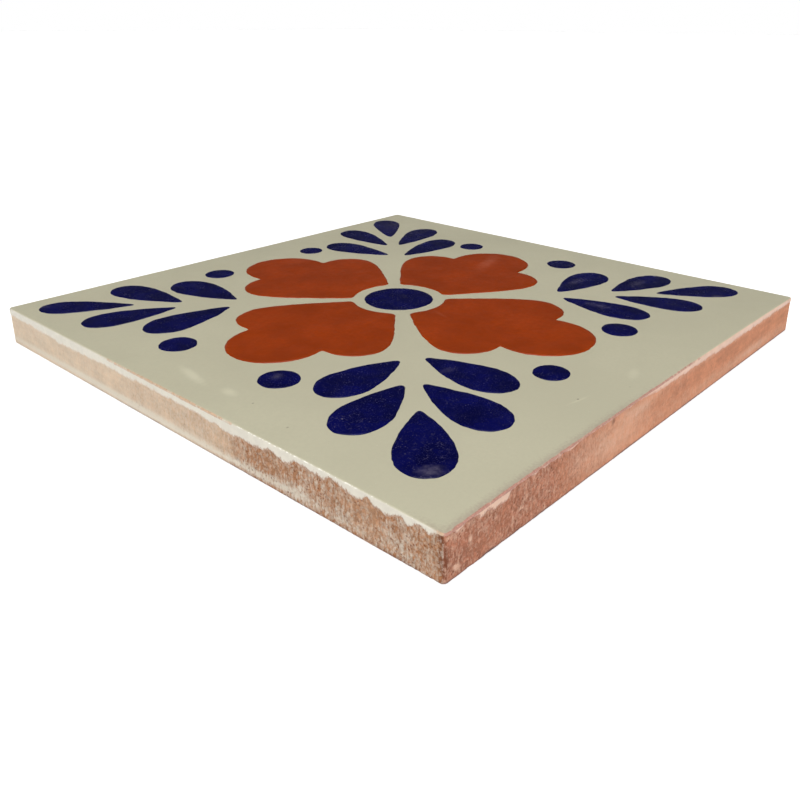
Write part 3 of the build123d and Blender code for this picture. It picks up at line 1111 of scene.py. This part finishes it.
def petal_outline(petal, sizes):
    """Petal with three lobes, anticlockwise, pointing along +X from the flower's middle."""
    left_out = (petal.lean / 2 - petal.drawn_in) * MM
    right_out = (-petal.lean / 2 - petal.drawn_in) * MM
    left_cusp = (sizes.cusp_out + left_out, sizes.cusp_across)
    right_cusp = (sizes.cusp_out + right_out, -sizes.cusp_across)
    tip = arc_through(right_cusp, (petal.reach * MM, petal.tip_aside * MM), left_cusp, 80)
    left = petal_side(sizes, left_out)
    right = petal_side(sizes, right_out)[::-1] * [1, -1]
    return np.concatenate([tip, left, right[:-1]])


def drop_outline(whole_length, half_width, head_length, power):
    """Drop with its tip at the origin and its head along +X, anticlockwise.

    It is widest where the head begins, at w from the tip. The head is half an ellipse, and along
    the flanks half the width is half_width (1 - (1 - x / w)^power).
    """
    widest = whole_length - head_length
    turn = np.linspace(-math.pi / 2, math.pi / 2, 56, endpoint=False)
    head = np.stack([widest + head_length * np.cos(turn), half_width * np.sin(turn)], axis=1)
    x = np.linspace(widest, 0, 60)
    upper = np.stack([x, half_width * (1 - (1 - x / widest) ** power)], axis=1)
    return np.concatenate([head, upper, upper[-2:0:-1] * [1, -1]])


def evenly(outline, spacing):
    """The same closed outline with its points evenly spaced."""
    closed = np.concatenate([outline, outline[:1]])
    steps = np.linalg.norm(np.diff(closed, axis=0), axis=1)
    travelled = np.concatenate([[0], np.cumsum(steps)])
    count = int(travelled[-1] / spacing)
    place = np.arange(count) / count * travelled[-1]
    return np.stack([np.interp(place, travelled, closed[:, i]) for i in range(2)], axis=1)


def rounded(outline, passes):
    """The same closed outline with its corners worn round, by averaging neighbours some times."""
    for _ in range(passes):
        outline = (np.roll(outline, 1, axis=0) + 2 * outline + np.roll(outline, -1, axis=0)) / 4
    return outline


def outward_normals(outline):
    """Outward normals of an anticlockwise closed outline."""
    ahead = np.roll(outline, -1, axis=0) - np.roll(outline, 1, axis=0)
    ahead /= np.linalg.norm(ahead, axis=1)[:, None]
    return np.stack([ahead[:, 1], -ahead[:, 0]], axis=1)


def distance_inside(points, outline):
    """Distance from each point to the nearest stretch of a closed outline."""
    start = outline
    stretch = np.roll(outline, -1, axis=0) - start
    reach = points[:, None] - start[None]
    share = np.clip((reach * stretch).sum(2) / (stretch**2).sum(1), 0, 1)
    return np.linalg.norm(reach - share[..., None] * stretch, axis=2).min(1)


def enamel_shell(outline, middle, enamel, blank, rounding, seed):
    """Closed shell of one brushed field.

    Rings run from the outline to the middle point in even shares, closer together near the
    outline. Above the face they rise as a quarter ellipse over the soft edge's width, and below
    it the shell ends in a plain underside.
    """
    outline = rounded(evenly(outline, enamel.point_spacing), rounding)
    flat = lifted(outline, 0.0)
    stray = layered_noise(flat, 3.2 * MM, 2, seed) * enamel.wobble
    stray += value_noise(flat, 0.9 * MM, seed + 3) * enamel.jag
    outline = outline + outward_normals(outline) * (stray + enamel.spread)[:, None]
    shares = (0.0, 0.012, 0.03, 0.06, 0.1, 0.16, 0.25, 0.36, 0.5, 0.66, 0.82, 0.94)
    rings = []
    for share in shares:
        spot = outline + (middle - outline) * share
        depth = distance_inside(spot, outline) / enamel.soft_edge
        swell = np.sqrt(1 - (1 - np.clip(depth, 0, 1)) ** 2)
        sag = layered_noise(lifted(spot, 0.0), 5 * MM, 2, seed + 5) * enamel.sag * swell
        z = face_height(spot, blank) + (enamel.rise - enamel.sag) * swell + sag
        rings.append(lifted(spot, z))
    rings = rings[::-1]
    under = rings[-1].copy()
    under[:, 2] -= enamel.root
    rings.append(under)
    z = float(face_height(middle[None], blank)[0])
    top_pole = (*middle, z + enamel.rise - enamel.sag)
    return ring_shell(np.array(rings), top_pole, (*middle, z - enamel.root))


def join_shells(shells):
    """Several shells as one list of points and groups of faces."""
    points, groups, start = [], [], 0
    for shell_points, shell_groups in shells:
        points.append(shell_points)
        groups += [group + start for group in shell_groups]
        start += len(shell_points)
    return np.concatenate(points), groups


class MakeFlower(bpy.types.Operator):
    """Make the flower's eye and its petals"""

    bl_idname = "tile.make_flower"
    bl_label = "Flower"

    def execute(self, context):
        """The eye is a round field, and each petal a field of its own."""
        scene = context.scene
        sizes, enamel, blank = scene.tile_flower, scene.tile_enamel, scene.tile_blank
        middle = np.array([sizes.middle_x, sizes.middle_y])
        cobalt = cobalt_enamel(scene.tile_colours)
        pupil = np.array([sizes.eye_x, sizes.eye_y])
        eye = arc(pupil, sizes.eye_radius, 0, 2 * math.pi, 160)
        points, faces = enamel_shell(eye, pupil, enamel, blank, enamel.drop_rounding, 201)
        make_piece("flower_eye", points, faces, {}, cobalt)
        rust = rust_material(scene.tile_colours)
        heart_out = (sizes.shoulder_out + sizes.eye_radius) / 2 + sizes.heart_shift
        for number, petal in enumerate(PETALS):
            turn = math.radians(petal.direction + petal.turn)
            outline = middle + turned(petal_outline(petal, sizes), turn)
            heart = middle + turned(np.array([[heart_out, 0.0]]), turn)[0]
            seed = 211 + 20 * number
            points, faces = enamel_shell(outline, heart, enamel, blank, enamel.petal_rounding, seed)
            make_piece(petal.name, points, faces, {}, rust)
        return {"FINISHED"}


def spray_drops(sizes):
    """Tip, angle and rank of each drop in the first quarter, where the middle one ranks last."""
    inner = (tile_half - sizes.inner_inset_out, tile_half - sizes.inner_inset_across)
    outer = (tile_half - sizes.outer_inset_out, tile_half - sizes.outer_inset_across)
    middle = tile_half - sizes.middle_inset
    right_angle = math.pi / 2
    return [
        ((middle, middle), right_angle / 2, 2),
        (inner, sizes.inner_angle, 1),
        (inner[::-1], right_angle - sizes.inner_angle, 1),
        (outer, sizes.outer_angle, 0),
        (outer[::-1], right_angle - sizes.outer_angle, 0),
    ]


def brushed(spray, points, sizes, flower):
    """Points of the first quarter where they lie in a spray's own corner, as it was brushed."""
    pivot = tile_half - sizes.pivot_inset
    place = turned(points - pivot, math.radians(spray.turn)) * spray.spread + pivot
    place += np.array([spray.out_x, spray.out_y]) * MM
    signs = np.array([spray.x_sign, spray.y_sign])
    placed = np.array([flower.middle_x, flower.middle_y]) + place * signs
    return placed if spray.x_sign * spray.y_sign > 0 else placed[::-1]


def stray_of(spray, number):
    """How one drop or bead strays from its spray."""
    for row in STRAYS:
        if row.spray == spray.name and row.number == number:
            return row
    return Stray(spray.name, number, 0.0, 0.0, 0.0, 0.0)


def strayed(points, about, stray):
    """Points turned about one of them and moved over the tile."""
    moved = turned(points - about, math.radians(stray.turn)) + about
    return moved + np.array([stray.x, stray.y]) * MM


def spray_outlines(spray, sizes, flower, tip_reach):
    """Outline and middle of each drop and bead of a spray."""
    outlines = []
    for number, (tip, turn, rank) in enumerate(spray_drops(sizes)):
        stray = stray_of(spray, number)
        half_width = sizes.head_radius * spray.fullness * (1 - spray.thinning * rank)
        whole_length = sizes.drop_length + tip_reach + stray.longer * MM
        head_length = sizes.head_length * half_width / sizes.head_radius
        lengths = np.array([whole_length, half_width, head_length]) / spray.spread
        shape = turned(drop_outline(*lengths, sizes.flank_power) - [tip_reach, 0], turn)
        heart = turned(np.array([[sizes.heart_share * sizes.drop_length, 0.0]]), turn)
        placed_tip = brushed(spray, np.array([tip]), sizes, flower)[0]
        outline = strayed(brushed(spray, shape + tip, sizes, flower), placed_tip, stray)
        heart = strayed(brushed(spray, heart + tip, sizes, flower), placed_tip, stray)[0]
        outlines.append((outline, heart))
    bead = (tile_half - sizes.bead_inset, sizes.bead_off_line)
    for number, spot in ((5, bead), (6, bead[::-1])):
        stray = stray_of(spray, number)
        radius = sizes.bead_radius * spray.fullness + stray.longer * MM
        circle = arc(spot, radius, 0, 2 * math.pi, 120)
        outline = strayed(brushed(spray, circle, sizes, flower), 0, stray)
        outlines.append((outline, outline.mean(0)))
    return outlines


class MakeSprays(bpy.types.Operator):
    """Make the drops and beads of the four corners"""

    bl_idname = "tile.make_sprays"
    bl_label = "Corner sprays"

    def execute(self, context):
        """Each spray is one piece, made of a closed shell for each drop and bead."""
        scene = context.scene
        enamel, blank = scene.tile_enamel, scene.tile_blank
        material = cobalt_enamel(scene.tile_colours)
        for number, spray in enumerate(SPRAYS):
            outlines = spray_outlines(spray, scene.tile_spray, scene.tile_flower, enamel.tip_reach)
            shells = []
            for outline, heart in outlines:
                seed = 301 + 40 * number + len(shells)
                shells.append(
                    enamel_shell(outline, heart, enamel, blank, enamel.drop_rounding, seed)
                )
            points, faces = join_shells(shells)
            make_piece(spray.name, points, faces, {}, material)
        return {"FINISHED"}


# Stage


def add_lamp(data, place):
    """Lamp that faces the tile's middle from a place."""
    lamp = bpy.data.objects.new(data.name, data)
    lamp.location = place
    lamp.rotation_euler = aim_rotation(-np.array(place))
    bpy.context.scene.collection.objects.link(lamp)


def soft_sun(name, direction, spread, strength):
    """Sun from a direction, whose disc spreads over this many degrees."""
    data = bpy.data.lights.new(name, "SUN")
    data.angle = math.radians(spread)
    data.energy = strength
    add_lamp(data, direction)


def soft_lamp(name, place, size, power):
    """Large square lamp."""
    data = bpy.data.lights.new(name, "AREA")
    data.shape = "SQUARE"
    data.size = size
    data.energy = power
    add_lamp(data, place)


def aim_rotation(direction):
    """Rotation that points an object's -Z along a direction, with its +Y up."""
    x, y, z = direction / np.linalg.norm(direction)
    return (math.acos(-z), 0.0, math.atan2(y, x) - math.pi / 2)


def white_floor(size, gap):
    """Plain white floor, a little brighter to the camera and to mirrors than its lamps make it."""
    s = Shader(bpy.data.materials.new("floor"))
    s.base = (0.9, 0.9, 0.9)
    seen = s.highest(s.ray("Camera"), s.ray("Glossy"), s.ray("Transmission"))
    surface = s.nodes["Principled BSDF"].inputs
    s.plug((1.0, 1.0, 1.0), surface["Emission Color"])
    s.plug(s.times(seen, FLOOR_LIFT), surface["Emission Strength"])
    mesh = bpy.data.meshes.new("floor")
    signs = ((-1, -1), (1, -1), (1, 1), (-1, 1))
    corners = [(x * size / 2, y * size / 2, -gap) for x, y in signs]
    mesh.from_pydata(corners, [], [(0, 1, 2, 3)])
    mesh.materials.append(s.finished(1.0, 0.0))
    floor = bpy.data.objects.new("floor", mesh)
    bpy.context.scene.collection.objects.link(floor)


def studio_world():
    """World that the camera sees white, and mirrors see white at the horizon and dim above it."""
    world = bpy.data.worlds.new("studio")
    bpy.context.scene.world = world
    s = Shader(world)
    split = s.nodes.new("ShaderNodeSeparateXYZ")
    s.links.new(s.direction, split.inputs[0])
    glow = s.ramp(split.outputs["Z"], 0.03, 0.10, 1.0, 0.03)
    background = s.nodes["Background"].inputs
    s.plug(s.highest(s.ray("Camera"), glow), background["Strength"])
    s.plug((1.0, 1.0, 1.0), background["Color"])


class MakeStage(bpy.types.Operator):
    """Make the floor, the world, the lamps and the camera"""

    bl_idname = "tile.make_stage"
    bl_label = "Stage"

    def execute(self, context):
        """The lamps are soft and plain, and the camera stands low before the near corner."""
        sizes = context.scene.tile_stage
        white_floor(sizes.floor_size, sizes.floor_gap)
        studio_world()
        soft_sun("key sun", (-0.55, -0.38, 0.74), 60, sizes.key)
        soft_sun("top sun", (0.12, 0.12, 0.98), 40, sizes.top)
        soft_lamp("near lamp", (-0.45, -0.4, 0.5), 0.4, sizes.near)
        data = bpy.data.cameras.new("camera")
        data.lens = sizes.lens
        data.sensor_width = 36.0
        data.shift_x, data.shift_y = CAMERA_SHIFT
        data.clip_start = 0.01
        data.clip_end = 50.0
        camera = bpy.data.objects.new("camera", data)
        camera.location = CAMERA_PLACE
        tilt, roll, turn = aim_rotation(np.subtract(CAMERA_AIM, CAMERA_PLACE))
        level = Euler((tilt, roll, turn)).to_quaternion()
        lean = Quaternion((0.0, 0.0, 1.0), math.radians(CAMERA_ROLL))
        camera.rotation_euler = (level @ lean).to_euler()
        context.scene.collection.objects.link(camera)
        context.scene.camera = camera
        context.scene.view_settings.view_transform = "Standard"
        return {"FINISHED"}


class TilePanel(bpy.types.Panel):
    """Buttons for the tile's pieces and its stage"""

    bl_idname = "VIEW3D_PT_handmade_tile"
    bl_label = "Handmade tile"
    bl_space_type = "VIEW_3D"
    bl_region_type = "UI"
    bl_category = "Tile"

    def draw(self, context):
        """One button for each operator, and below them all sizes and colours."""
        for operator in OPERATORS:
            self.layout.operator(operator.bl_idname)
        for group in GROUPS:
            sizes = getattr(context.scene, group)
            box = self.layout.box()
            for name in sizes.__annotations__:
                box.prop(sizes, name)


OPERATORS = (MakeClayBody, MakeGlaze, MakeFlower, MakeSprays, MakeStage)
GROUPS = {
    "tile_blank": BlankSizes,
    "tile_flower": FlowerSizes,
    "tile_spray": SpraySizes,
    "tile_enamel": EnamelSizes,
    "tile_colours": TileColours,
    "tile_stage": StageSizes,
}


def register():
    """Register the classes and hang the size groups on the scene."""
    for item in (*GROUPS.values(), *OPERATORS, TilePanel):
        bpy.utils.register_class(item)
    for name, group in GROUPS.items():
        setattr(bpy.types.Scene, name, PointerProperty(type=group))


def unregister():
    """Take the size groups off the scene and unregister the classes."""
    for name in GROUPS:
        delattr(bpy.types.Scene, name)
    for item in (TilePanel, *reversed(OPERATORS), *reversed(list(GROUPS.values()))):
        bpy.utils.unregister_class(item)


def main():
    register()
    bpy.ops.tile.make_clay_body()
    bpy.ops.tile.make_glaze()
    bpy.ops.tile.make_flower()
    bpy.ops.tile.make_sprays()
    bpy.ops.tile.make_stage()


if __name__ == "__main__":
    main()
